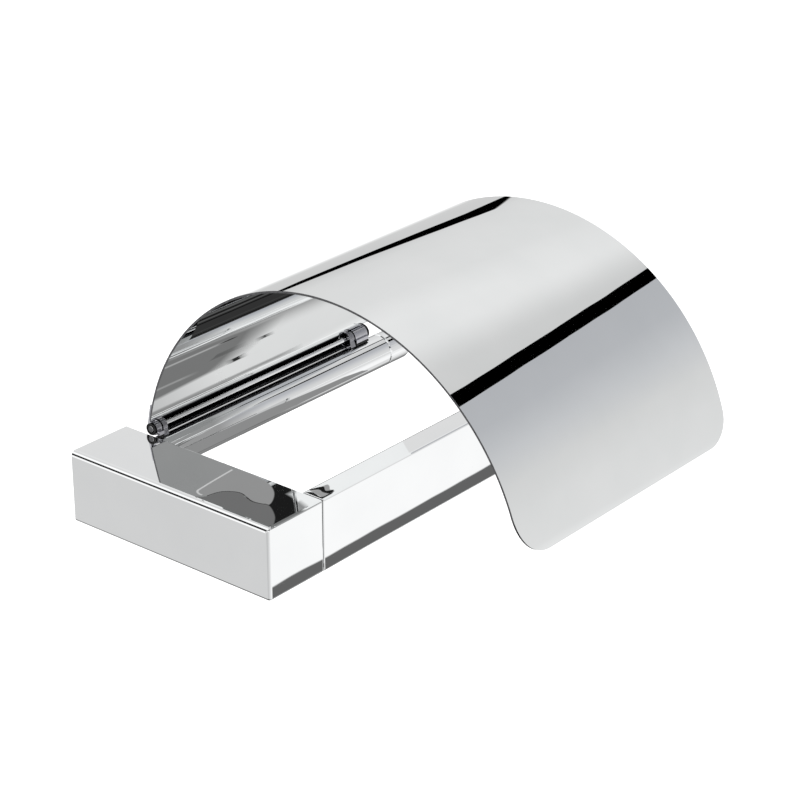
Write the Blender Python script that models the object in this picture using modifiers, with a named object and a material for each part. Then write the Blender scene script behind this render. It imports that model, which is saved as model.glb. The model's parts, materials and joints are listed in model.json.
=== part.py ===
"""Toilet paper holder with a hinged cover: a square arm stands out from the wall and
carries two bars along the wall. The flat front bar takes the roll. The round back bar
carries the hinge of a curved cover.

Metres, +Z up. The wall is the plane Y = 0 and the holder stands out along -Y.
The origin is the middle of the arm's wall face."""

import math

import bmesh
import bpy
from mathutils import Matrix, Vector

# Driving dimensions
ARM_SIDE = 0.025
ARM_LENGTH = 0.085
ARM_WALL = 0.002
ARM_ROUNDINGS = {"outer top": 0.0018, "front upright": 0.0012, "low or front": 0.0008, "beside bars": 0.0005}
GAP = 0.0003

FRONT_BAR_THICK = 0.0086
FRONT_BAR_END = 0.1245
BAR_ROUNDING = 0.0007
SEAM_ROUNDING = 0.0003
BAR_WALL = 0.0015
CAP_PLATE = 0.0015
CAP_PLUG = 0.008

BACK_BAR_RADIUS = 0.0059
BACK_BAR_Y = -0.0130
BACK_BAR_Z = 0.0055
BACK_BAR_SEAM = 0.1250
BACK_BAR_END = 0.1360

PLUG_LENGTH = 0.014
POCKET_DEPTH = 0.0008
SCREW_RADIUS = 0.00125
SCREW_LENGTH = 0.0085
SCREW_HEAD_RADIUS = 0.00225
FRONT_SCREW_Y = -0.0805
SCREW_HEAD_DEPTH = 0.003
HEX_KEY_RADIUS = 0.0012
HEX_KEY_DEPTH = 0.0015

BRACKET_DEPTH = 0.009
BRACKET_HOLE_RADIUS = 0.00225
BRACKET_HOLE_Z = 0.004
GRUB_RADIUS = 0.002
GRUB_LENGTH = 0.005
GRUB_Y = -0.0045

HINGE_Y = -0.0106
HINGE_Z = 0.0142
ROD_RADIUS = 0.0011
ROD_SPAN = (0.0128, 0.1199)
RUNNING_GAP = 0.0001
KNUCKLE_RADII = {"left": 0.0023, "right": 0.0028}
KNUCKLE_SPANS = {"left": (0.0136, 0.0158), "right": (0.1123, 0.1187)}
RING_RADII = {"left": 0.0020, "right": 0.0028}
RING_SPANS = {"left": (0.0129, 0.0134), "right": (0.1190, 0.1197)}
LUG_RADIUS = 0.0026
LUG_SPANS = {"left": (0.0162, 0.0182), "right": (0.1095, 0.1119)}
HEM_SPAN = (0.0186, 0.1091)
HEM_RADIUS = 0.00255
HEM_THICK = 0.0005
HEM_START_ANGLE = math.radians(-155)
HEM_END_ANGLE = math.radians(85)
HEM_STEPS = 32

COVER_LEFT = 0.0128
COVER_RIGHT = 0.1223
COVER_THICK = 0.0010
COVER_CENTRE_Y = -0.0855
COVER_CENTRE_Z = 0.0025
COVER_RADIUS = 0.0763
COVER_FRONT_ANGLE = math.radians(170.0)
COVER_CORNERS = {"left": 0.0140, "right": 0.0095}
COVER_STEPS = 72

STRAP_THICK = 0.0008
STRAP_LENGTH = 0.008
TAB_THICK = 0.0012
TAB_BACK_Y = -0.0106
TAB_FRONT_Y = -0.0139
PAD_THICK = 0.0006
PAD_BACK_Y = -0.0127

ROUND_SEGMENTS = 48
CUT_EXTRA = 0.002

# Lengths worked out from the driving ones
ARM_INNER_FACE = ARM_SIDE / 2
CAVITY_SIDE = ARM_SIDE - 2 * ARM_WALL
CAVITY_INNER_FACE = CAVITY_SIDE / 2
BAR_START = ARM_INNER_FACE + GAP
FRONT_BAR_Y = -ARM_LENGTH + FRONT_BAR_THICK / 2
FRONT_BORE = (FRONT_BAR_THICK - 2 * BAR_WALL, ARM_SIDE - 2 * BAR_WALL)
BACK_BORE_RADIUS = BACK_BAR_RADIUS - BAR_WALL
POCKET_FLOOR = ARM_INNER_FACE - POCKET_DEPTH
WIDEST_ROUNDING = max(ARM_ROUNDINGS.values())
SCREW_PLACES = ((FRONT_SCREW_Y, 0.0), (BACK_BAR_Y, BACK_BAR_Z))
PAD_BOTTOM = BACK_BAR_Z + BACK_BAR_RADIUS + GAP
TAB_BOTTOM = PAD_BOTTOM + PAD_THICK + GAP
HINGE = Vector((0.0, HINGE_Y, HINGE_Z))
COVER_CENTRE = Vector((0.0, COVER_CENTRE_Y, COVER_CENTRE_Z))
ALONG_X = Matrix.Rotation(math.pi / 2, 4, "Y")
ALONG_Y = Matrix.Rotation(math.pi / 2, 4, "X")
ALONG_Z = Matrix.Identity(4)

COLOURS = {
    "arm_chrome": ((0.80, 0.81, 0.82), 1.0, 0.05),
    "front_bar_chrome": ((0.81, 0.82, 0.83), 1.0, 0.05),
    "back_bar_chrome": ((0.79, 0.80, 0.82), 1.0, 0.06),
    "end_cap_chrome": ((0.80, 0.81, 0.82), 1.0, 0.06),
    "end_block_chrome": ((0.80, 0.81, 0.83), 1.0, 0.06),
    "cover_chrome": ((0.78, 0.80, 0.80), 1.0, 0.04),
    "hem_black": ((0.03, 0.03, 0.033), 0.8, 0.20),
    "rod_steel": ((0.62, 0.63, 0.64), 1.0, 0.15),
    "lug_steel": ((0.30, 0.30, 0.32), 1.0, 0.20),
    "knuckle_nickel": ((0.36, 0.36, 0.38), 1.0, 0.12),
    "ring_steel": ((0.03, 0.03, 0.03), 0.8, 0.35),
    "pad_rubber": ((0.02, 0.02, 0.02), 0.0, 0.70),
    "bracket_zinc": ((0.55, 0.56, 0.57), 1.0, 0.40),
    "plug_brass": ((0.72, 0.60, 0.36), 1.0, 0.35),
    "screw_steel": ((0.50, 0.50, 0.50), 1.0, 0.35),
    "grub_steel": ((0.42, 0.42, 0.43), 1.0, 0.40),
}


def clear_scene():
    for item in list(bpy.data.objects):
        bpy.data.objects.remove(item, do_unlink=True)


def new_collection(name):
    collection = bpy.data.collections.new(name)
    bpy.context.scene.collection.children.link(collection)
    return collection


def principled(name):
    colour, metallic, roughness = COLOURS[name]
    material = bpy.data.materials.get(name) or bpy.data.materials.new(name)
    material.use_nodes = True
    shader = material.node_tree.nodes["Principled BSDF"]
    shader.inputs["Base Color"].default_value = (*colour, 1.0)
    shader.inputs["Metallic"].default_value = metallic
    shader.inputs["Roughness"].default_value = roughness
    material.diffuse_color = (*colour, 1.0)
    return material


def new_object(name, shape, place, look=None):
    """An object for a bmesh shape at a world position. A shape with no look is a cutter."""
    mesh = bpy.data.meshes.new(name)
    shape.to_mesh(mesh)
    shape.free()
    item = bpy.data.objects.new(name, mesh)
    item.location = place
    if look:
        mesh.materials.append(principled(look))
        PARTS.objects.link(item)
    else:
        item.hide_render = True
        item.display_type = "WIRE"
        CUTTERS.objects.link(item)
    return item


def block(size):
    shape = bmesh.new()
    bmesh.ops.create_cube(shape, size=1.0)
    bmesh.ops.scale(shape, vec=size, verts=shape.verts)
    return shape


def prism(sides, radius, length, turn):
    """A regular prism along Z, turned to its own axis."""
    shape = bmesh.new()
    bmesh.ops.create_cone(
        shape,
        cap_ends=True,
        segments=sides,
        radius1=radius,
        radius2=radius,
        depth=length,
    )
    bmesh.ops.transform(shape, matrix=turn, verts=shape.verts)
    return shape


def cylinder(radius, length, turn):
    return prism(ROUND_SEGMENTS, radius, length, turn)


def hex_key(depth, turn):
    return prism(6, HEX_KEY_RADIUS, 2 * depth, turn)


def boolean(target, tool, operation):
    modifier = target.modifiers.new(tool.name, "BOOLEAN")
    modifier.operation = operation
    modifier.solver = "EXACT"
    modifier.object = tool


def cut(target, tool):
    boolean(target, tool, "DIFFERENCE")


def join(target, tool):
    boolean(target, tool, "UNION")


def round_edges(item, width, segments):
    modifier = item.modifiers.new("rounded edges", "BEVEL")
    modifier.width = width
    modifier.segments = segments
    modifier.limit_method = "ANGLE"
    modifier.angle_limit = math.radians(40)


def smooth(item):
    item.data.shade_smooth()
    item.data.set_sharp_from_angle(angle=math.radians(35))


def span_middle(low, high):
    return (low + high) / 2


def tube_along_x(name, outer, inner, low, high, y, z, look):
    """A round tube between two X positions, bored right through."""
    place = (span_middle(low, high), y, z)
    item = new_object(name, cylinder(outer, high - low, ALONG_X), place, look)
    smooth(item)
    bore = new_object(name + "_bore", cylinder(inner, high - low + CUT_EXTRA, ALONG_X), place)
    cut(item, bore)
    return item


def hang_on_hinge(item, pivot):
    """Parents a piece to the pivot without moving it."""
    item.parent = pivot
    item.location = item.location - HINGE


def round_each_edge(item, shape_rule, segments):
    """Bevels each edge of a block by the radius that the rule gives for the edge's middle."""
    shape = bmesh.new()
    shape.from_mesh(item.data)
    layer = shape.edges.layers.float.new("bevel_weight_edge")
    for edge in shape.edges:
        middle = (edge.verts[0].co + edge.verts[1].co) / 2
        edge[layer] = shape_rule(middle) / WIDEST_ROUNDING
    shape.to_mesh(item.data)
    shape.free()
    modifier = item.modifiers.new("rounded edges", "BEVEL")
    modifier.width = WIDEST_ROUNDING
    modifier.segments = segments
    modifier.limit_method = "WEIGHT"


def arm_rounding(middle):
    """The long outer top edge is the roundest, and the edges at the wall stay square."""
    if middle.y > ARM_LENGTH / 4:
        return 0.0
    if middle.x > ARM_SIDE / 4:
        return ARM_ROUNDINGS["beside bars"]
    if abs(middle.z) < ARM_SIDE / 4:
        return ARM_ROUNDINGS["front upright"]
    if middle.z > 0 and middle.x < -ARM_SIDE / 4:
        return ARM_ROUNDINGS["outer top"]
    return ARM_ROUNDINGS["low or front"]


def bar_rounding(middle):
    """The end against the arm is nearly square, so that the seam stays thin."""
    length = FRONT_BAR_END - BAR_START
    if middle.x < -length / 4:
        return SEAM_ROUNDING
    return BAR_ROUNDING


def arm_shell():
    shape = block((ARM_SIDE, ARM_LENGTH, ARM_SIDE))
    arm = new_object("arm_shell", shape, (0, -ARM_LENGTH / 2, 0), "arm_chrome")
    round_each_edge(arm, arm_rounding, 5)
    smooth(arm)
    depth = ARM_LENGTH - ARM_WALL
    cavity = block((CAVITY_SIDE, depth + CUT_EXTRA, CAVITY_SIDE))
    cut(arm, new_object("arm_cavity", cavity, (0, (CUT_EXTRA - depth) / 2, 0)))
    pocket = block((2 * POCKET_DEPTH, FRONT_BORE[0], FRONT_BORE[1]))
    cut(arm, new_object("tenon_pocket", pocket, (ARM_INNER_FACE, FRONT_BAR_Y, 0)))
    recess = cylinder(BACK_BORE_RADIUS, 2 * POCKET_DEPTH, ALONG_X)
    cut(arm, new_object("spigot_recess", recess, (ARM_INNER_FACE, BACK_BAR_Y, BACK_BAR_Z)))
    for y, z in SCREW_PLACES:
        hole = cylinder(SCREW_RADIUS + GAP, 3 * ARM_WALL, ALONG_X)
        cut(arm, new_object("arm_screw_hole", hole, (ARM_INNER_FACE, y, z)))
    grub_hole = cylinder(GRUB_RADIUS + GAP, 3 * ARM_WALL, ALONG_Z)
    cut(arm, new_object("arm_grub_hole", grub_hole, (0, GRUB_Y, -ARM_SIDE / 2)))


def arm_wall_bracket():
    side = CAVITY_SIDE - 2 * GAP
    shape = block((side, BRACKET_DEPTH, side))
    bracket = new_object("arm_wall_bracket", shape, (0, -BRACKET_DEPTH / 2, 0), "bracket_zinc")
    for z in (-BRACKET_HOLE_Z, BRACKET_HOLE_Z):
        hole = cylinder(BRACKET_HOLE_RADIUS, BRACKET_DEPTH + CUT_EXTRA, ALONG_Y)
        place = (0, -BRACKET_DEPTH / 2, z)
        cut(bracket, new_object("bracket_hole", hole, place))
    seat_depth = GRUB_LENGTH + 2 * GAP
    seat = cylinder(GRUB_RADIUS + GAP, seat_depth, ALONG_Z)
    cut(bracket, new_object("grub_seat", seat, (0, GRUB_Y, (seat_depth - ARM_SIDE) / 2)))


def arm_grub_screw():
    middle = (GRUB_LENGTH - ARM_SIDE) / 2 + GAP
    shape = cylinder(GRUB_RADIUS, GRUB_LENGTH, ALONG_Z)
    grub = new_object("arm_grub_screw", shape, (0, GRUB_Y, middle), "grub_steel")
    smooth(grub)
    key = hex_key(HEX_KEY_DEPTH, ALONG_Z)
    cut(grub, new_object("grub_key", key, (0, GRUB_Y, middle - GRUB_LENGTH / 2)))


def front_bar():
    end = FRONT_BAR_END - CAP_PLATE - GAP
    length = end - BAR_START
    place = (span_middle(BAR_START, end), FRONT_BAR_Y, 0)
    shape = block((length, FRONT_BAR_THICK, ARM_SIDE))
    bar = new_object("front_bar", shape, place, "front_bar_chrome")
    round_each_edge(bar, bar_rounding, 3)
    smooth(bar)
    bore = block((length + CUT_EXTRA, *FRONT_BORE))
    cut(bar, new_object("front_bar_bore", bore, place))


def front_bar_tenon():
    shape = block((PLUG_LENGTH, FRONT_BORE[0] - 2 * GAP, FRONT_BORE[1] - 2 * GAP))
    place = (POCKET_FLOOR + GAP + PLUG_LENGTH / 2, FRONT_BAR_Y, 0)
    tenon = new_object("front_bar_tenon", shape, place, "plug_brass")
    cut(tenon, screw_bore("tenon_thread", FRONT_SCREW_Y, 0))


def front_bar_end_cap():
    place = (FRONT_BAR_END - CAP_PLATE / 2, FRONT_BAR_Y, 0)
    plate = block((CAP_PLATE, FRONT_BAR_THICK, ARM_SIDE))
    cap = new_object("front_bar_end_cap", plate, place, "end_cap_chrome")
    round_edges(cap, SEAM_ROUNDING, 2)
    smooth(cap)
    plug = block((CAP_PLUG, FRONT_BORE[0] - 2 * GAP, FRONT_BORE[1] - 2 * GAP))
    plug_x = FRONT_BAR_END - CAP_PLATE / 2 - CAP_PLUG / 2
    join(cap, new_object("front_cap_plug", plug, (plug_x, FRONT_BAR_Y, 0)))


def back_bar():
    tube_along_x(
        "back_bar",
        BACK_BAR_RADIUS,
        BACK_BORE_RADIUS,
        BAR_START,
        BACK_BAR_SEAM,
        BACK_BAR_Y,
        BACK_BAR_Z,
        "back_bar_chrome",
    )


def back_bar_spigot():
    place = (POCKET_FLOOR + GAP + PLUG_LENGTH / 2, BACK_BAR_Y, BACK_BAR_Z)
    shape = cylinder(BACK_BORE_RADIUS - GAP, PLUG_LENGTH, ALONG_X)
    spigot = new_object("back_bar_spigot", shape, place, "plug_brass")
    smooth(spigot)
    cut(spigot, screw_bore("spigot_thread", BACK_BAR_Y, BACK_BAR_Z))


def back_bar_end_block():
    start = BACK_BAR_SEAM + GAP
    length = BACK_BAR_END - start
    place = (start + length / 2, BACK_BAR_Y, BACK_BAR_Z)
    shape = cylinder(BACK_BAR_RADIUS, length, ALONG_X)
    end = new_object("back_bar_end_block", shape, place, "end_block_chrome")
    round_edges(end, BAR_ROUNDING, 3)
    smooth(end)
    plug = cylinder(BACK_BORE_RADIUS - GAP, 2 * CAP_PLUG, ALONG_X)
    join(end, new_object("end_block_plug", plug, (start, BACK_BAR_Y, BACK_BAR_Z)))


def screw_bore(name, y, z):
    """The threaded hole that a fixing screw enters from inside the arm."""
    depth = SCREW_LENGTH + GAP
    shape = cylinder(SCREW_RADIUS + GAP, 2 * depth, ALONG_X)
    return new_object(name, shape, (CAVITY_INNER_FACE - GAP, y, z))


def bar_fixing_screw(name, y, z):
    """A cap screw whose head sits inside the arm and whose shank runs into a bar's plug."""
    face = CAVITY_INNER_FACE - GAP
    start = face - SCREW_HEAD_DEPTH / 2
    end = face + SCREW_LENGTH
    head = cylinder(SCREW_HEAD_RADIUS, SCREW_HEAD_DEPTH, ALONG_X)
    screw = new_object(name, head, (start, y, z), "screw_steel")
    smooth(screw)
    shank = cylinder(SCREW_RADIUS, end - start, ALONG_X)
    join(screw, new_object(name + "_shank", shank, (span_middle(start, end), y, z)))
    key = hex_key(HEX_KEY_DEPTH, ALONG_X)
    cut(screw, new_object(name + "_key", key, (face - SCREW_HEAD_DEPTH, y, z)))


def hinge_rod():
    low, high = ROD_SPAN
    shape = cylinder(ROD_RADIUS, high - low, ALONG_X)
    place = (span_middle(low, high), HINGE_Y, HINGE_Z)
    rod = new_object("hinge_rod", shape, place, "rod_steel")
    smooth(rod)


def hinge_lug(side):
    """A plate on top of the back bar that holds the rod: a round head over a saddle foot."""
    low, high = LUG_SPANS[side]
    width = high - low
    x = span_middle(low, high)
    name = "hinge_lug_" + side
    head = cylinder(LUG_RADIUS, width, ALONG_X)
    lug = new_object(name, head, (x, HINGE_Y, HINGE_Z), "lug_steel")
    smooth(lug)
    bar = Vector((0.0, BACK_BAR_Y, BACK_BAR_Z))
    leg_length = (bar - HINGE).length
    lean = math.atan2(bar.y - HINGE.y, HINGE.z - bar.z)
    shape = block((width, 2 * LUG_RADIUS - 2 * GAP, leg_length))
    bmesh.ops.rotate(shape, matrix=Matrix.Rotation(lean, 3, "X"), verts=shape.verts)
    middle = (HINGE + bar) / 2
    join(lug, new_object(name + "_leg", shape, (x, middle.y, middle.z)))
    saddle = cylinder(BACK_BAR_RADIUS + GAP, width + CUT_EXTRA, ALONG_X)
    cut(lug, new_object(name + "_saddle", saddle, (x, BACK_BAR_Y, BACK_BAR_Z)))
    eye = cylinder(ROD_RADIUS + GAP, width + CUT_EXTRA, ALONG_X)
    cut(lug, new_object(name + "_eye", eye, (x, HINGE_Y, HINGE_Z)))


def hinge_ring(side):
    """A retaining ring near the rod's end."""
    low, high = RING_SPANS[side]
    outer = RING_RADII[side]
    name = "hinge_ring_" + side
    tube_along_x(name, outer, ROD_RADIUS + GAP, low, high, HINGE_Y, HINGE_Z, "ring_steel")


def cover_start_angle():
    """The sheet's back edge clears the knuckles by a gap."""
    arm = HINGE - COVER_CENTRE
    return math.atan2(arm.z, arm.y) + (KNUCKLE_RADII["right"] + GAP) / COVER_RADIUS


def swept_strip(name, span, centre, radius, angles, steps, thickness, look):
    """A line along X swept round an axis along X, then thickened."""
    start, end = angles
    y = radius * math.cos(start)
    z = radius * math.sin(start)
    shape = bmesh.new()
    ends = [shape.verts.new((x, y, z)) for x in span]
    shape.edges.new(ends)
    strip = new_object(name, shape, centre, look)
    sweep = strip.modifiers.new("arc", "SCREW")
    sweep.axis = "X"
    sweep.angle = end - start
    sweep.steps = steps
    sweep.render_steps = steps
    sweep.use_merge_vertices = False
    sweep.merge_threshold = 0.0001
    skin = strip.modifiers.new("thickness", "SOLIDIFY")
    skin.thickness = thickness
    skin.offset = 0.0
    return strip


def cover_sheet(pivot):
    span = (COVER_LEFT, COVER_RIGHT)
    angles = (cover_start_angle(), COVER_FRONT_ANGLE)
    sheet = swept_strip(
        "cover_sheet", span, COVER_CENTRE, COVER_RADIUS, angles, COVER_STEPS, COVER_THICK, "cover_chrome"
    )
    for tool in cover_corners():
        cut(sheet, tool)
    hang_on_hinge(sheet, pivot)


def cover_hem(pivot):
    """The rolled back edge of the sheet: a channel behind the rod, open to the front."""
    angles = (HEM_START_ANGLE, HEM_END_ANGLE)
    hem = swept_strip("cover_hem", HEM_SPAN, HINGE, HEM_RADIUS, angles, HEM_STEPS, HEM_THICK, "hem_black")
    hang_on_hinge(hem, pivot)


def cover_corners():
    """Two squares with a quarter circle out of each, which round the front corners."""
    front = COVER_CENTRE + COVER_RADIUS * Vector(
        (0.0, math.cos(COVER_FRONT_ANGLE), math.sin(COVER_FRONT_ANGLE))
    )
    for side, edge, inward in (("left", COVER_LEFT, 1), ("right", COVER_RIGHT, -1)):
        radius = COVER_CORNERS[side]
        square = block((2 * radius, 2 * radius, 2 * radius))
        tool = new_object("cover_corner_" + side, square, (edge, front.y, front.z))
        circle = cylinder(radius, 2 * radius + CUT_EXTRA, ALONG_Y)
        place = (edge + inward * radius, front.y, front.z + radius)
        cut(tool, new_object("corner_circle_" + side, circle, place))
        yield tool


def cover_knuckle(side, pivot):
    """A barrel that turns on the rod, with a strap against the sheet's outer face and a
    tab that stops over the back bar."""
    low, high = KNUCKLE_SPANS[side]
    width = high - low
    x = span_middle(low, high)
    name = "cover_knuckle_" + side
    barrel = cylinder(KNUCKLE_RADII[side], width, ALONG_X)
    knuckle = new_object(name, barrel, (x, HINGE_Y, HINGE_Z), "knuckle_nickel")
    smooth(knuckle)
    arm = HINGE - COVER_CENTRE
    angle = math.atan2(arm.z, arm.y) + STRAP_LENGTH / (2 * COVER_RADIUS)
    reach = COVER_RADIUS + COVER_THICK / 2 + GAP + STRAP_THICK / 2
    middle = COVER_CENTRE + reach * Vector((0.0, math.cos(angle), math.sin(angle)))
    strap = block((width, STRAP_THICK, STRAP_LENGTH))
    bmesh.ops.rotate(strap, matrix=Matrix.Rotation(angle, 3, "X"), verts=strap.verts)
    join(knuckle, new_object(name + "_strap", strap, (x, middle.y, middle.z)))
    tab = block((width, TAB_BACK_Y - TAB_FRONT_Y, TAB_THICK))
    tab_z = TAB_BOTTOM + TAB_THICK / 2
    join(knuckle, new_object(name + "_tab", tab, (x, span_middle(TAB_BACK_Y, TAB_FRONT_Y), tab_z)))
    bore = cylinder(ROD_RADIUS + RUNNING_GAP, width + CUT_EXTRA, ALONG_X)
    cut(knuckle, new_object(name + "_bore", bore, (x, HINGE_Y, HINGE_Z)))
    hang_on_hinge(knuckle, pivot)


def stop_pad(side, pivot):
    """A rubber pad under the stop tab."""
    low, high = KNUCKLE_SPANS[side]
    shape = block((high - low, PAD_BACK_Y - TAB_FRONT_Y, PAD_THICK))
    place = (span_middle(low, high), span_middle(PAD_BACK_Y, TAB_FRONT_Y), PAD_BOTTOM + PAD_THICK / 2)
    pad = new_object("stop_pad_" + side, shape, place, "pad_rubber")
    hang_on_hinge(pad, pivot)


def hinge_pivot():
    pivot = bpy.data.objects.new("cover_pivot", None)
    pivot.location = HINGE
    PARTS.objects.link(pivot)
    return pivot


def build():
    arm_shell()
    arm_wall_bracket()
    arm_grub_screw()
    front_bar()
    front_bar_tenon()
    front_bar_end_cap()
    back_bar()
    back_bar_spigot()
    back_bar_end_block()
    for name, (y, z) in zip(("front_bar_screw", "back_bar_screw"), SCREW_PLACES):
        bar_fixing_screw(name, y, z)
    hinge_rod()
    pivot = hinge_pivot()
    cover_sheet(pivot)
    cover_hem(pivot)
    for side in ("left", "right"):
        hinge_lug(side)
        hinge_ring(side)
        cover_knuckle(side, pivot)
        stop_pad(side, pivot)


clear_scene()
PARTS = new_collection("toilet paper holder")
CUTTERS = new_collection("cutters")
build()
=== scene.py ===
"""The look of a chromed toilet paper holder with a hinged cover, in a soft white studio."""

import json
import math

import bmesh
import bpy
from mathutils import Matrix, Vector

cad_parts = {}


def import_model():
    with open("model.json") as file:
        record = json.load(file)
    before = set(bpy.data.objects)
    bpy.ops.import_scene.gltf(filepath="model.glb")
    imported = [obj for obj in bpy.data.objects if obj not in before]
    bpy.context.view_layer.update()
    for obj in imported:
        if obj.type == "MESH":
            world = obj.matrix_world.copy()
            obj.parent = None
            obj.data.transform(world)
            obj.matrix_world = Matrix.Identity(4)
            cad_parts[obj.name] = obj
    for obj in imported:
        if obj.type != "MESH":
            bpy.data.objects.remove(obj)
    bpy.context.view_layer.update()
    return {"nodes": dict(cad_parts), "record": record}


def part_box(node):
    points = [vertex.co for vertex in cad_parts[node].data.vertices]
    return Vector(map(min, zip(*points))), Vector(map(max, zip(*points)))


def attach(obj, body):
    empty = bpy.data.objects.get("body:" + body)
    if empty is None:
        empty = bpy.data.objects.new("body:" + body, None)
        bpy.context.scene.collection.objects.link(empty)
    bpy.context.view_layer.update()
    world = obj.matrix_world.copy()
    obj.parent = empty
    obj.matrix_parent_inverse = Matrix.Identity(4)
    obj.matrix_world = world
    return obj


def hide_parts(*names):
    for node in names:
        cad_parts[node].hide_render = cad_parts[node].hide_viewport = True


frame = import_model()

SCENE = bpy.context.scene
SCENE.view_settings.view_transform = "Standard"

# Camera
CAMERA_PLACE = Vector((-0.4852, -0.5247, 0.3469))
CAMERA_FORWARD = Vector((0.7037, 0.5784, -0.4127))
CAMERA_LENS = 108.9
CAMERA_SENSOR = 36.0

# Floor
FLOOR_Z = -0.60
FLOOR_SIDE = 24.0

# Cover, hinge and bars: sizes in metres, angles in radians, and how many rows or segments
COVER_CENTRE = Vector((0.0, -0.0855, 0.0025))
COVER_RADIUS = 0.0763
COVER_THICK = 0.0007
COVER_FRONT = math.radians(170.0)
COVER_CORNERS = (0.0140, 0.0095)
COVER_RIM = 0.00015
COVER_COLUMNS = 48
COVER_ROWS = 260
CORNER_ROWS = 60
CORNER_SPAN = 0.22
HINGE = Vector((0.0, -0.0106, 0.0142))
KNUCKLE_RADIUS = 0.0028
GAP = 0.0003
BACK_BAR_WALL = 0.0015
BACK_BAR_RIM = 0.00012
BACK_BAR_SEGMENTS = 160
ROD_RIM = 0.0002
ROD_SEGMENTS = 64


def camera():
    data = bpy.data.cameras.new("camera")
    data.lens = CAMERA_LENS
    data.sensor_width = CAMERA_SENSOR
    data.clip_start = 0.01
    data.clip_end = 100.0
    item = bpy.data.objects.new("camera", data)
    item.location = CAMERA_PLACE
    item.rotation_mode = "QUATERNION"
    item.rotation_quaternion = CAMERA_FORWARD.to_track_quat("-Z", "Y")
    SCENE.collection.objects.link(item)
    SCENE.camera = item


# ---------------------------------------------------------------- node helpers


class Nodes:
    """Short calls for building one node tree."""

    def __init__(self, tree):
        self.tree = tree
        tree.nodes.clear()

    def add(self, kind, **settings):
        node = self.tree.nodes.new(kind)
        for key, value in settings.items():
            setattr(node, key, value)
        return node

    def link(self, source, target):
        self.tree.links.new(source, target)

    def ramp(self, fac, stops):
        """A colour ramp over (position, grey or colour) stops."""
        node = self.add("ShaderNodeValToRGB")
        elements = node.color_ramp.elements
        while len(elements) < len(stops):
            elements.new(1.0)
        for element, (position, colour) in zip(elements, stops):
            grey = (colour,) * 3 if isinstance(colour, float) else colour
            element.position = position
            element.color = (*grey, 1.0)
        self.link(fac, node.inputs["Fac"])
        return node.outputs["Color"]

    def span(self, value, low, high, to_low=0.0, to_high=1.0, soft=False):
        node = self.add("ShaderNodeMapRange")
        if soft:
            node.interpolation_type = "SMOOTHSTEP"
        node.inputs["From Min"].default_value = low
        node.inputs["From Max"].default_value = high
        node.inputs["To Min"].default_value = to_low
        node.inputs["To Max"].default_value = to_high
        self.link(value, node.inputs["Value"])
        return node.outputs["Result"]

    def math(self, operation, first, second):
        node = self.add("ShaderNodeMath", operation=operation)
        self.link(first, node.inputs[0])
        self.link(second, node.inputs[1])
        return node.outputs[0]

    def mix(self, factor, first, second):
        node = self.add("ShaderNodeMix", data_type="RGBA")
        self.link(factor, node.inputs["Factor"])
        self.link(first, node.inputs["A"])
        self.link(second, node.inputs["B"])
        return node.outputs["Result"]

    def noise(self, place, scale, detail=2.0, roughness=0.5, distortion=0.0):
        node = self.add("ShaderNodeTexNoise")
        node.inputs["Scale"].default_value = scale
        node.inputs["Detail"].default_value = detail
        node.inputs["Roughness"].default_value = roughness
        node.inputs["Distortion"].default_value = distortion
        self.link(place, node.inputs["Vector"])
        return node.outputs["Fac"]

    def stretched(self, place, scale):
        node = self.add("ShaderNodeMapping")
        node.inputs["Scale"].default_value = scale
        self.link(place, node.inputs["Vector"])
        return node.outputs["Vector"]

    def bump(self, height, strength, distance):
        node = self.add("ShaderNodeBump")
        node.inputs["Strength"].default_value = strength
        node.inputs["Distance"].default_value = distance
        self.link(height, node.inputs["Height"])
        return node.outputs["Normal"]


# ---------------------------------------------------------------- studio


def rise(degrees):
    """Where a direction at this elevation falls on a ramp over the world's Z."""
    return (math.sin(math.radians(degrees)) + 1) / 2


def elevation_stops(pairs):
    return [(rise(degrees), grey) for degrees, grey in pairs]


# Grey or colour by elevation in degrees, towards the wall, the room, the left and along X
WALL_SIDE = (
    (-60, 0.22), (-28, 0.25), (-22, 0.34), (-17, 1.05), (-14, 1.10), (-10, 0.80), (-7, 0.66), (0, 0.65),
    (7, 0.66), (13, 0.745), (22, 0.78), (33, 0.80), (40, 0.87), (44, 0.86), (47, 0.76), (75, 0.72),
)
ROOM_SIDE = (
    (-60, 0.70), (-46, 0.80), (-39, 0.78), (-34.5, 1.05), (-24, 1.05), (-18, 0.95), (-12, 0.80), (0, 0.77),
    (10, 0.72), (20, (0.612, 0.620, 0.640)), (29, (0.510, 0.520, 0.545)), (36.5, (0.490, 0.500, 0.525)),
    (38, 0.66), (45, 0.70), (75, 0.72),
)
LEFT_SIDE = (
    (-60, 0.08), (-42, 0.12), (-36, 0.45), (-32, 0.70), (-20, 0.69), (-16, 1.10), (4, 1.15), (9, 0.03),
    (19, 0.03), (25, 1.15), (50, 1.15), (75, 0.80),
)
ENDS = ((-60, 0.20), (-25, 0.34), (-6, 0.46), (0, 0.72), (12, 0.62), (30, 0.42), (60, 0.34))

# Where one tone turns into the next: X squared for the ends, Y for the room, X for the left
ENDS_BLEND = (0.68, 0.88)
ROOM_BLEND = (0.10, -0.16)
LEFT_BLEND = (0.05, -0.25)
BACKDROP_STRENGTH = 1.1


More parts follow.
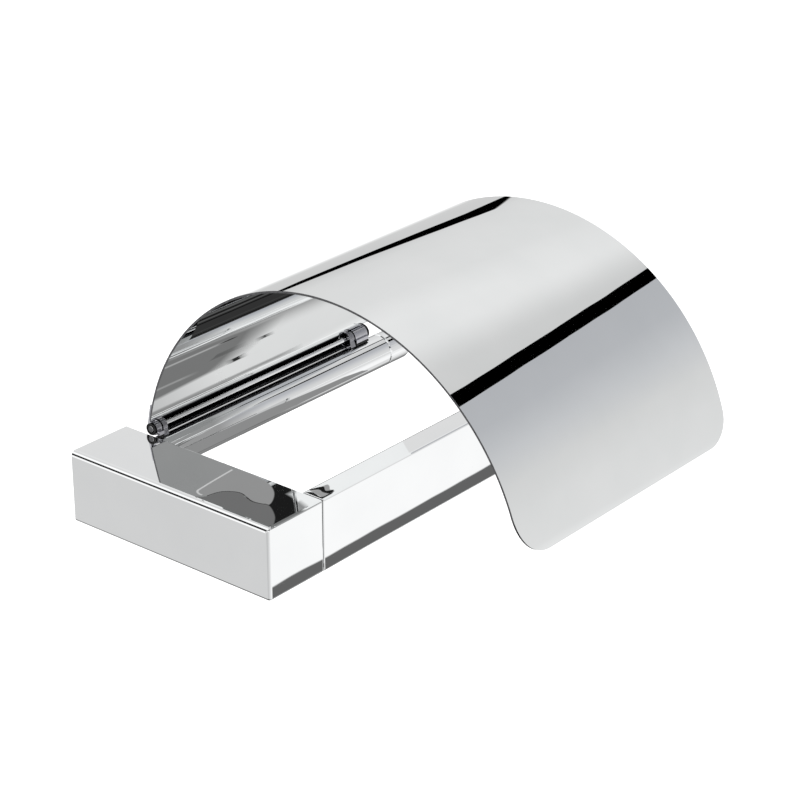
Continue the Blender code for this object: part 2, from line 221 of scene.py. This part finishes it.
def world():
    """The studio that the chrome mirrors: four tones by elevation, towards the wall, the
    room, the left and straight along X. The camera itself sees plain white."""
    item = bpy.data.worlds.new("studio")
    item.use_nodes = True
    nodes = Nodes(item.node_tree)
    direction = nodes.add("ShaderNodeTexCoord").outputs["Generated"]
    split = nodes.add("ShaderNodeSeparateXYZ")
    nodes.link(direction, split.inputs["Vector"])
    height = nodes.span(split.outputs["Z"], -1.0, 1.0)
    wall = nodes.ramp(height, elevation_stops(WALL_SIDE))
    room = nodes.ramp(height, elevation_stops(ROOM_SIDE))
    left = nodes.ramp(height, elevation_stops(LEFT_SIDE))
    ends = nodes.ramp(height, elevation_stops(ENDS))
    along = nodes.math("MULTIPLY", split.outputs["X"], split.outputs["X"])
    to_ends = nodes.span(along, *ENDS_BLEND, soft=True)
    to_room = nodes.span(split.outputs["Y"], *ROOM_BLEND, soft=True)
    to_left = nodes.span(split.outputs["X"], *LEFT_BLEND, soft=True)
    sides = nodes.mix(to_left, nodes.mix(to_room, wall, room), left)
    tone = nodes.mix(to_ends, sides, ends)
    mirrored = nodes.add("ShaderNodeBackground")
    nodes.link(tone, mirrored.inputs["Color"])
    seen = nodes.add("ShaderNodeBackground")
    seen.inputs["Color"].default_value = (1.0, 1.0, 1.0, 1.0)
    seen.inputs["Strength"].default_value = BACKDROP_STRENGTH
    chosen = nodes.add("ShaderNodeMixShader")
    nodes.link(nodes.add("ShaderNodeLightPath").outputs["Is Camera Ray"], chosen.inputs[0])
    nodes.link(mirrored.outputs[0], chosen.inputs[1])
    nodes.link(seen.outputs[0], chosen.inputs[2])
    nodes.link(chosen.outputs[0], nodes.add("ShaderNodeOutputWorld").inputs["Surface"])
    SCENE.world = item


def card_material(name, grey, one_sided):
    """A glow that fades out towards the card's edge, where the fade attribute is 0."""
    material = bpy.data.materials.new(name)
    material.use_nodes = True
    nodes = Nodes(material.node_tree)
    glow = nodes.add("ShaderNodeEmission")
    glow.inputs["Color"].default_value = (grey, grey, grey, 1.0)
    clear = nodes.add("ShaderNodeBsdfTransparent")
    fade = nodes.add("ShaderNodeAttribute", attribute_name="fade")
    chosen = nodes.add("ShaderNodeMixShader")
    shown = fade.outputs["Fac"]
    if one_sided:
        back = nodes.add("ShaderNodeNewGeometry").outputs["Backfacing"]
        shown = nodes.math("MULTIPLY", shown, nodes.span(back, 0.0, 1.0, 1.0, 0.0))
    nodes.link(shown, chosen.inputs[0])
    nodes.link(clear.outputs[0], chosen.inputs[1])
    nodes.link(glow.outputs[0], chosen.inputs[2])
    nodes.link(chosen.outputs[0], nodes.add("ShaderNodeOutputMaterial").inputs["Surface"])
    return material


def card(name, corners, grey, softness, one_sided=False):
    """A flat reflector card that only the chrome sees. softness is the width of its faded edge."""
    shape = bmesh.new()
    face = shape.faces.new([shape.verts.new(corner) for corner in corners])
    face.normal_update()
    outline = set(shape.verts)
    bmesh.ops.inset_region(
        shape, faces=[face], thickness=softness, use_boundary=True, use_even_offset=True
    )
    mesh = bpy.data.meshes.new(name)
    fades = [0.0 if vertex in outline else 1.0 for vertex in shape.verts]
    shape.to_mesh(mesh)
    shape.free()
    attribute = mesh.attributes.new("fade", "FLOAT", "POINT")
    attribute.data.foreach_set("value", fades)
    mesh.materials.append(card_material(name, grey, one_sided))
    item = bpy.data.objects.new(name, mesh)
    SCENE.collection.objects.link(item)
    item.visible_camera = False
    item.visible_diffuse = False
    item.visible_shadow = False


def level(points, z):
    """The corners of a horizontal card."""
    return [(x, y, z) for x, y in points]


def facing_y(points, y):
    """The corners of an upright card across Y."""
    return [(x, y, z) for x, z in points]


# Far cards: distance and gap between layers in metres, and degrees from corner to corner of a patch
CARD_DISTANCE = 12.0
LAYER = 0.1
PATCH_STEP = 4

# The X part of the directions in which most of the fields on the right begin
FIELD_START = 0.58


def towards(azimuth, elevation):
    """The far direction at this azimuth and elevation. Azimuth 0 is +Y and 90 is +X, in degrees."""
    a = math.radians(azimuth)
    e = math.radians(elevation)
    flat = math.cos(e)
    return Vector((math.sin(a) * flat, math.cos(a) * flat, math.sin(e)))


def round_x(lean, turn):
    """The far direction with this X part, turned round X from +Y towards +Z, in degrees."""
    across = math.sqrt(1 - lean * lean)
    t = math.radians(turn)
    return Vector((lean, across * math.cos(t), across * math.sin(t)))


def far_card(name, directions, grey, softness_degrees, layer=0):
    """A card far away. A higher layer hides a lower one."""
    distance = CARD_DISTANCE - layer * LAYER
    softness = distance * math.radians(softness_degrees)
    card(name, [distance * direction for direction in directions], grey, softness)


def patch(name, leans, turns, grey, softness_degrees, layer=0):
    """A far card between two X parts and two turns round X."""
    start, end = turns
    count = max(2, round(abs(end - start) / PATCH_STEP))
    steps = [start + (end - start) * i / count for i in range(count + 1)]
    right = [round_x(leans[1], turn) for turn in steps]
    left = [round_x(leans[0], turn) for turn in reversed(steps)]
    far_card(name, right + left, grey, softness_degrees, layer)


def black_cards():
    """Two black fields, high on the right and low between the wall side and the right."""
    gap = ((94, 34.3), (122, 36.1), (122, 40.6), (112, 39.2), (94, 36.0))
    far_card("ceiling_gap", [towards(*corner) for corner in gap], 0.0, 0.03)
    slot = (
        (43.2, 3.4), (44.2, 2.9), (46.2, 3.9), (48.9, 5.9), (50.2, 5.2),
        (50.9, 12.6), (48.8, 10.7), (46.3, 7.7), (43.6, 5.6),
    )
    far_card("wall_slot", [towards(*corner) for corner in slot], 0.0, 0.15)


def room_cards():
    """Grey and black fields to the right, which darken the arm's top and the inside of the cover."""
    patch("room_right", (FIELD_START, 0.668), (134, 214), 0.34, 1.2)
    patch("wall_low", (0.654, 0.684), (-31, -50), 0.015, 0.4)
    patch("low_room", (FIELD_START, 0.694), (-126.5, -137), 0.33, 0.6)
    patch("low_base", (FIELD_START, 0.662), (-86, -125), 0.55, 2.4)
    tongue = (
        (FIELD_START, -86), (0.665, -88), (0.689, -91), (0.687, -95),
        (0.680, -103), (0.669, -111), (0.64, -114), (FIELD_START, -116),
    )
    far_card("low_tongue", [round_x(*corner) for corner in tongue], 0.20, 1.1, 1)
    patch("low_streak_1", (FIELD_START, 0.674), (-100, -103.5), 0.13, 0.8, 2)
    patch("low_streak_2", (FIELD_START, 0.668), (-92, -94), 0.42, 0.5, 3)
    patch("low_streak_3", (FIELD_START, 0.655), (-106, -108), 0.34, 0.5, 3)
    patch("low_streak_4", (FIELD_START, 0.69), (-119.5, -122.5), 0.36, 0.8, 1)
    patch("low_dot_1", (0.664, 0.672), (-108.5, -111.5), 0.02, 0.4, 4)
    patch("low_dot_2", (0.676, 0.683), (-101.5, -104), 0.06, 0.3, 4)
    patch("low_dot_3", (0.664, 0.672), (-92.5, -93.6), 0.03, 0.2, 4)


def right_glow():
    """A bright card past the front bar's open end."""
    outline = ((0.13, -0.065), (0.20, -0.065), (0.20, -0.095), (0.13, -0.095))
    card("right_glow", level(outline, 0.0), 1.05, 0.003)


# Cards close to the holder, which paint shade into its reflections: sizes in metres, the slope of the hinge
# cards' left ends and a grey
UNDER_Z = -0.040
HINGE_SHADE_Y = -0.0155
HINGE_SHADE_STEP = 0.0002
HINGE_SHADE_LOW = 0.0108
HINGE_SHADE_LEFT = 0.0505
HINGE_SHADE_RIGHT = 0.16
HINGE_SHADE_LEAN = 0.45
HINGE_SHADE_SOFTNESS = 0.00012
SHADE_Y = -0.0193
SHADE_GREY = 0.29
SHADE_SOFTNESS = 0.00025


def painted_under_shade():
    """A dark strip below and in front of the front bar, mirrored in its front face: painted shade, the dark
    under the holder seen in the bar.
    """
    outline = (
        (0.021, -0.1190), (0.0215, -0.1235), (0.030, -0.1253), (0.17, -0.1262),
        (0.17, -0.110), (0.021, -0.110),
    )
    card("under_shade_strip", level(outline, UNDER_Z), 0.135, 0.0008)


def painted_hinge_shade():
    """A dark field in front of the hinge, seen only from the room side, with a few fine lines: painted shade
    in the reflections round the hinge.
    """
    line_y = HINGE_SHADE_Y - HINGE_SHADE_STEP
    strips = (
        (HINGE_SHADE_LOW, 0.0312, 0.034, HINGE_SHADE_Y), (0.0289, 0.0302, 0.10, line_y), (0.0262, 0.0276, 0.005, line_y),
        (0.0175, 0.0183, 0.060, line_y), (0.0138, 0.0152, 0.002, line_y),
    )
    for number, (low, high, grey, y) in enumerate(strips):
        low_left = HINGE_SHADE_LEFT - HINGE_SHADE_LEAN * (low - HINGE_SHADE_LOW)
        high_left = HINGE_SHADE_LEFT - HINGE_SHADE_LEAN * (high - HINGE_SHADE_LOW)
        outline = ((low_left, low), (HINGE_SHADE_RIGHT, low), (HINGE_SHADE_RIGHT, high), (high_left, high))
        card("hinge_shade_card_" + str(number), facing_y(outline, y), grey, HINGE_SHADE_SOFTNESS, one_sided=True)


def back_bar_shade():
    """A grey field close in front of the rear bar's lower half, seen only from the wall side."""
    outline = (
        (0.0132, 0.0), (0.0132, 0.0075), (0.0375, 0.0073), (0.062, 0.0069), (0.0874, 0.0058),
        (0.100, 0.0054), (0.110, 0.0042), (0.115, 0.0018), (0.116, 0.0),
    )
    card("back_bar_shade", facing_y(outline, SHADE_Y), SHADE_GREY, SHADE_SOFTNESS, one_sided=True)


# The plane of the arm's and the front bar's tops, and the height of the cards above it, in metres
TOP_Z = 0.0125
ARM_LIFT = 0.018
BAR_LIFT = 0.025
TOP_STEP = 0.001
COURSE_STEPS = 6

# The painted dark reflection that curves across the arm's top and the soft edge of the lines, in millimetres
ARM_CURVE = ((-8, -55.5), (-3, -57), (0, -62), (-2, -69), (-0.5, -74.5))
LINE_SOFTNESS = 0.1

# Painted reflections on the tops of the arm and the front bar: grey and near-black fields
# Height above the tops in metres, grey, width of the soft edge and outline in millimetres
TOP_FIELDS = {
    "corner_grey": (
        BAR_LIFT, 0.36, 0.25,
        (
            (15, -77.5), (19, -78.5), (21.5, -79), (21, -80.5), (19.5, -82), (20, -83),
            (16.5, -84), (14, -83.5), (14.5, -78.5),
        ),
    ),
    "corner_blob": (
        BAR_LIFT - TOP_STEP, 0.012, 0.12,
        (
            (15, -77), (19, -78.5), (19.5, -79.5), (18, -81.5), (20, -83), (17.5, -84),
            (16.5, -81.5), (17, -79.5), (15, -77.5),
        ),
    ),
    "corner_low": (
        BAR_LIFT - TOP_STEP, 0.012, 0.12,
        (
            (13, -77.5), (14.5, -79), (14, -83), (17, -83.5),
            (20, -83.5), (16.5, -84.5), (13, -84.5), (13, -80),
        ),
    ),
    "arm_grey": (
        ARM_LIFT, 0.31, 0.4,
        ((10, -49.5), (11.5, -61.5), (7, -70), *reversed(ARM_CURVE), (-7, -51)),
    ),
    "arm_shadow": (
        ARM_LIFT, 0.17, 0.4,
        ((-9, -55), *ARM_CURVE, (-6.5, -82.5), (-11.5, -82), (-11.5, -55)),
    ),
}

# Painted reflections on the arm's top: a near-black curve, and a light line that is a painted highlight
# Height above the tops in metres, grey, width and course of thin lines in millimetres
TOP_LINES = {
    "arm_curve": (ARM_LIFT - TOP_STEP, 0.03, 0.45, ARM_CURVE),
    "arm_line": (
        ARM_LIFT - TOP_STEP, 0.62, 0.80,
        ((10.5, -49), (-5, -50.5), (-7.5, -51), (-8.5, -52.5), (-8.5, -54)),
    ),
}


def smooth_course(points, closed=False):
    """A Catmull-Rom curve through the points."""
    count = len(points)
    spans = count if closed else count - 1
    course = []
    for i in range(spans):
        places = range(i - 1, i + 3)
        if closed:
            places = [place % count for place in places]
        else:
            places = [min(max(place, 0), count - 1) for place in places]
        a, b, c, d = (Vector(points[place]) for place in places)
        for step in range(COURSE_STEPS):
            t = step / COURSE_STEPS
            bend = (2 * a - 5 * b + 4 * c - d) * t * t + (3 * b - a - 3 * c + d) * t ** 3
            course.append((2 * b + (c - a) * t + bend) / 2)
    if not closed:
        course.append(Vector(points[-1]))
    return course


def ribbon(course, width):
    """The outline of a line of this width along a course."""
    left = []
    right = []
    for i, place in enumerate(course):
        along = (course[min(i + 1, len(course) - 1)] - course[max(i - 1, 0)]).normalized()
        across = Vector((-along.y, along.x)) * width / 2
        left.append(place + across)
        right.append(place - across)
    return left + right[::-1]


# Cards whose images on the tops are painted reflections: painted shade, and a painted highlight for the
# light line
def painted_top_reflection(name, outline, grey, softness, lift):
    """A card above the tops of the arm and the front bar and under the cover, seen only from
    below. The outline is where the photo's camera sees the card's image on the top, in millimetres."""
    corners = []
    for x, y in outline:
        ray = Vector((x / 1000, y / 1000, TOP_Z)) - CAMERA_PLACE
        reach = 1 - lift / ray.z
        place = CAMERA_PLACE + ray * reach
        corners.append((place.x, place.y, TOP_Z + lift))
    turns = sum(a[0] * b[1] - b[0] * a[1] for a, b in zip(corners, corners[1:] + corners[:1]))
    if turns > 0:
        corners.reverse()
    card(name, corners, grey, softness / 1000, one_sided=True)


def painted_top_reflections():
    for name, (lift, grey, softness, points) in TOP_FIELDS.items():
        painted_top_reflection(name, smooth_course(points, closed=True), grey, softness, lift)
    for name, (lift, grey, width, points) in TOP_LINES.items():
        painted_top_reflection(name, ribbon(smooth_course(points), width), grey, LINE_SOFTNESS, lift)


def cards():
    painted_top_reflections()
    black_cards()
    room_cards()
    right_glow()
    painted_under_shade()
    painted_hinge_shade()
    back_bar_shade()


def floor():
    shape = bmesh.new()
    bmesh.ops.create_grid(shape, x_segments=1, y_segments=1, size=FLOOR_SIDE / 2)
    mesh = bpy.data.meshes.new("floor")
    shape.to_mesh(mesh)
    shape.free()
    material = bpy.data.materials.new("floor_paper")
    material.use_nodes = True
    shader = material.node_tree.nodes["Principled BSDF"]
    shader.inputs["Base Color"].default_value = (0.95, 0.95, 0.95, 1.0)
    shader.inputs["Roughness"].default_value = 0.9
    shader.inputs["Emission Color"].default_value = (1.0, 1.0, 1.0, 1.0)
    shader.inputs["Emission Strength"].default_value = 0.6
    mesh.materials.append(material)
    item = bpy.data.objects.new("floor", mesh)
    item.location = (0.0, 0.0, FLOOR_Z)
    item.visible_glossy = False
    SCENE.collection.objects.link(item)


# ---------------------------------------------------------------- materials


def material_with_nodes(name):
    material = bpy.data.materials.new(name)
    material.use_nodes = True
    nodes = Nodes(material.node_tree)
    shader = nodes.add("ShaderNodeBsdfPrincipled")
    nodes.link(shader.outputs[0], nodes.add("ShaderNodeOutputMaterial").inputs["Surface"])
    place = nodes.add("ShaderNodeTexCoord").outputs["Object"]
    return material, nodes, shader, place


def drift(nodes, place, scale, detail, dark, light):
    """A base colour that drifts between dark and light."""
    return nodes.ramp(nodes.noise(place, scale, detail), ((0.3, dark), (0.7, light)))


def chrome(name, dark, light, waviness, haze):
    """Polished plating: a faint tone drift, wiped smears and hairline scratches in the
    roughness, and the slow waves that polishing leaves."""
    material, nodes, shader, place = material_with_nodes(name)
    shader.inputs["Metallic"].default_value = 1.0
    nodes.link(drift(nodes, place, 45.0, 3.0, dark, light), shader.inputs["Base Color"])
    smears = nodes.noise(nodes.stretched(place, (30.0, 75.0, 75.0)), 1.0, 5.0, 0.6, 0.8)
    scratches = nodes.noise(nodes.stretched(place, (260.0, 5200.0, 5200.0)), 1.0, 2.0)
    wiped = nodes.span(smears, 0.45, 0.75, 0.012, 0.012 + haze)
    hairlines = nodes.span(scratches, 0.66, 0.80, 0.0, 0.05)
    nodes.link(nodes.math("ADD", wiped, hairlines), shader.inputs["Roughness"])
    waves = nodes.noise(place, 38.0, 1.0)
    nodes.link(nodes.bump(waves, 1.0, waviness), shader.inputs["Normal"])
    return material


# Dark and light tone, depth of the waves in metres and haze
CHROMES = {
    "arm_chrome": ((0.875, 0.885, 0.890), (0.905, 0.912, 0.915), 0.00006, 0.020),
    "front_bar_chrome": ((0.880, 0.888, 0.893), (0.908, 0.915, 0.918), 0.00005, 0.020),
    "back_bar_chrome": ((0.870, 0.880, 0.888), (0.900, 0.908, 0.912), 0.00004, 0.025),
    "end_cap_chrome": ((0.875, 0.885, 0.890), (0.905, 0.912, 0.915), 0.00004, 0.020),
    "end_block_chrome": ((0.875, 0.885, 0.892), (0.905, 0.912, 0.918), 0.00004, 0.020),
    "cover_chrome": ((0.868, 0.882, 0.882), (0.900, 0.910, 0.910), 0.00002, 0.008),
}


def satin_metal(name, dark, light, roughness, grain):
    """Drawn, cast, turned or blackened metal, and the hem's near black, which is painted shade: speckled
    tone, streaked roughness and a fine grain.
    """
    material, nodes, shader, place = material_with_nodes(name)
    shader.inputs["Metallic"].default_value = 1.0
    nodes.link(drift(nodes, place, 900.0, 4.0, dark, light), shader.inputs["Base Color"])
    streaks = nodes.noise(nodes.stretched(place, (300.0, 3000.0, 3000.0)), 1.0, 3.0)
    nodes.link(nodes.span(streaks, 0.3, 0.7, roughness * 0.75, roughness * 1.25), shader.inputs["Roughness"])
    nodes.link(nodes.bump(nodes.noise(place, 2600.0, 3.0), 0.35, grain), shader.inputs["Normal"])
    return material


# Dark and light tone, roughness and depth of the grain in metres
SATIN_METALS = {
    "rod_steel": ((0.88, 0.885, 0.89), (0.93, 0.93, 0.935), 0.06, 0.000001),
    "lug_steel": ((0.27, 0.27, 0.29), (0.33, 0.33, 0.35), 0.18, 0.000004),
    # hem_black: painted shade, near black for the dark gap round the hinge rod that the hem mirrors
    "hem_black": ((0.022, 0.022, 0.025), (0.034, 0.034, 0.037), 0.14, 0.0000002),
    "knuckle_nickel": ((0.42, 0.42, 0.45), (0.50, 0.50, 0.53), 0.12, 0.000002),
    "cut_edge": ((0.10, 0.10, 0.105), (0.17, 0.17, 0.175), 0.30, 0.000002),
    "ring_steel": ((0.02, 0.02, 0.02), (0.045, 0.045, 0.045), 0.32, 0.000004),
    "bracket_zinc": ((0.48, 0.49, 0.50), (0.60, 0.61, 0.61), 0.42, 0.000015),
    "plug_brass": ((0.66, 0.53, 0.29), (0.76, 0.64, 0.39), 0.30, 0.000006),
    "screw_steel": ((0.50, 0.50, 0.49), (0.60, 0.60, 0.58), 0.30, 0.000005),
    "grub_steel": ((0.36, 0.36, 0.37), (0.46, 0.46, 0.46), 0.36, 0.000005),
}


def rubber(name, dark, light, roughness, grain):
    """Moulded rubber: a slow tone drift, uneven gloss and moulding grain."""
    material, nodes, shader, place = material_with_nodes(name)
    nodes.link(drift(nodes, place, 400.0, 4.0, dark, light), shader.inputs["Base Color"])
    gloss = nodes.noise(place, 700.0, 3.0)
    nodes.link(nodes.span(gloss, 0.3, 0.7, roughness * 0.8, roughness * 1.2), shader.inputs["Roughness"])
    nodes.link(nodes.bump(nodes.noise(place, 3500.0, 2.0), 0.3, grain), shader.inputs["Normal"])
    return material


def all_materials():
    looks = {name: chrome(name, *values) for name, values in CHROMES.items()}
    looks.update({name: satin_metal(name, *values) for name, values in SATIN_METALS.items()})
    dark, light = (0.014, 0.014, 0.014), (0.026, 0.026, 0.026)
    looks["pad_rubber"] = rubber("pad_rubber", dark, light, 0.65, 0.000012)
    return looks


# ---------------------------------------------------------------- pieces


def piece(name, shape, look, body, node):
    """A finished mesh that stands for a CAD node."""
    mesh = bpy.data.meshes.new(name)
    shape.to_mesh(mesh)
    shape.free()
    mesh.materials.append(LOOKS[look])
    item = bpy.data.objects.new(name, mesh)
    SCENE.collection.objects.link(item)
    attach(item, body)
    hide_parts(node)
    return item


def finish_edges(item, width, segments, angle=35.0):
    """Rounded edges whose neighbours stay flat."""
    item.data.shade_smooth()
    rounding = item.modifiers.new("rounded edges", "BEVEL")
    rounding.width = width
    rounding.segments = segments
    rounding.limit_method = "ANGLE"
    rounding.angle_limit = math.radians(angle)
    rounding.harden_normals = True


def ring_of_vertices(shape, x, radius, centre, segments):
    ring = []
    for step in range(segments):
        turn = 2 * math.pi * step / segments
        y = centre.y + radius * math.cos(turn)
        z = centre.z + radius * math.sin(turn)
        ring.append(shape.verts.new((x, y, z)))
    return ring


def turned(profile, centre, segments, closed=False):
    """A shape turned round an axis along X from (x, radius) points. A closed profile makes a
    tube, and an open one gets end faces of the second material."""
    shape = bmesh.new()
    rings = [ring_of_vertices(shape, x, radius, centre, segments) for x, radius in profile]
    pairs = list(zip(rings, rings[1:]))
    if closed:
        pairs.append((rings[-1], rings[0]))
    for near, far in pairs:
        for step in range(segments):
            after = (step + 1) % segments
            shape.faces.new((near[step], near[after], far[after], far[step]))
    if not closed:
        for ring in (rings[0], rings[-1]):
            shape.faces.new(ring).material_index = 1
    bmesh.ops.recalc_face_normals(shape, faces=shape.faces)
    return shape


def cover_grid():
    """The sheet's middle surface, with the two front corners rounded."""
    low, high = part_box("cover_sheet")
    hinge_angle = math.atan2(HINGE.z - COVER_CENTRE.z, HINGE.y - COVER_CENTRE.y)
    start = hinge_angle + (KNUCKLE_RADIUS + GAP) / COVER_RADIUS
    front_z = COVER_CENTRE.z + COVER_RADIUS * math.sin(COVER_FRONT)
    corner_angle = COVER_FRONT - CORNER_SPAN
    angles = [start + (corner_angle - start) * i / COVER_ROWS for i in range(COVER_ROWS)]
    for i in range(CORNER_ROWS + 1):
        share = 1 - (1 - i / CORNER_ROWS) ** 2
        angles.append(corner_angle + CORNER_SPAN * share)
    shape = bmesh.new()
    rows = []
    for angle in angles:
        y = COVER_CENTRE.y + COVER_RADIUS * math.cos(angle)
        z = COVER_CENTRE.z + COVER_RADIUS * math.sin(angle)
        reach = []
        for radius in COVER_CORNERS:
            drop = min(max((front_z + radius - z) / radius, 0.0), 1.0)
            in_front = angle > math.pi / 2
            reach.append(radius * (1 - math.sqrt(1 - drop * drop)) if in_front else 0.0)
        left = low.x + reach[0]
        right = high.x - reach[1]
        places = [left + (right - left) * i / COVER_COLUMNS for i in range(COVER_COLUMNS + 1)]
        rows.append([shape.verts.new((x, y, z)) for x in places])
    for near, far in zip(rows, rows[1:]):
        for i in range(COVER_COLUMNS):
            shape.faces.new((near[i], near[i + 1], far[i + 1], far[i]))
    bmesh.ops.recalc_face_normals(shape, faces=shape.faces)
    return shape


def cover_sheet():
    item = piece("cover_skin", cover_grid(), "cover_chrome", "cover", "cover_sheet")
    skin = item.modifiers.new("thickness", "SOLIDIFY")
    skin.thickness = COVER_THICK
    skin.offset = 0.0
    skin.material_offset_rim = 1
    item.data.materials.append(LOOKS["cut_edge"])
    finish_edges(item, COVER_RIM, 3, 50.0)


def back_bar():
    low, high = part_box("back_bar")
    centre = (low + high) / 2
    radius = (high.z - low.z) / 2
    bore = radius - BACK_BAR_WALL
    profile = ((low.x, radius), (high.x, radius), (high.x, bore), (low.x, bore))
    shape = turned(profile, centre, BACK_BAR_SEGMENTS, closed=True)
    item = piece("back_bar_tube", shape, "back_bar_chrome", "frame", "back_bar")
    finish_edges(item, BACK_BAR_RIM, 2)


def hinge_rod():
    low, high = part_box("hinge_rod")
    radius = (high.z - low.z) / 2
    profile = ((low.x, radius), (high.x, radius))
    shape = turned(profile, HINGE, ROD_SEGMENTS)
    item = piece("hinge_rod_bar", shape, "rod_steel", "frame", "hinge_rod")
    item.data.materials.append(LOOKS["cut_edge"])
    finish_edges(item, ROD_RIM, 2)


camera()
world()
cards()
floor()
LOOKS = all_materials()
SLOTS = {part["node"]: part["material_slot"] for part in frame["record"]["subparts"]}
for name, node in frame["nodes"].items():
    node.data.materials.clear()
    node.data.materials.append(LOOKS[SLOTS[name]])
cover_sheet()
back_bar()
hinge_rod()
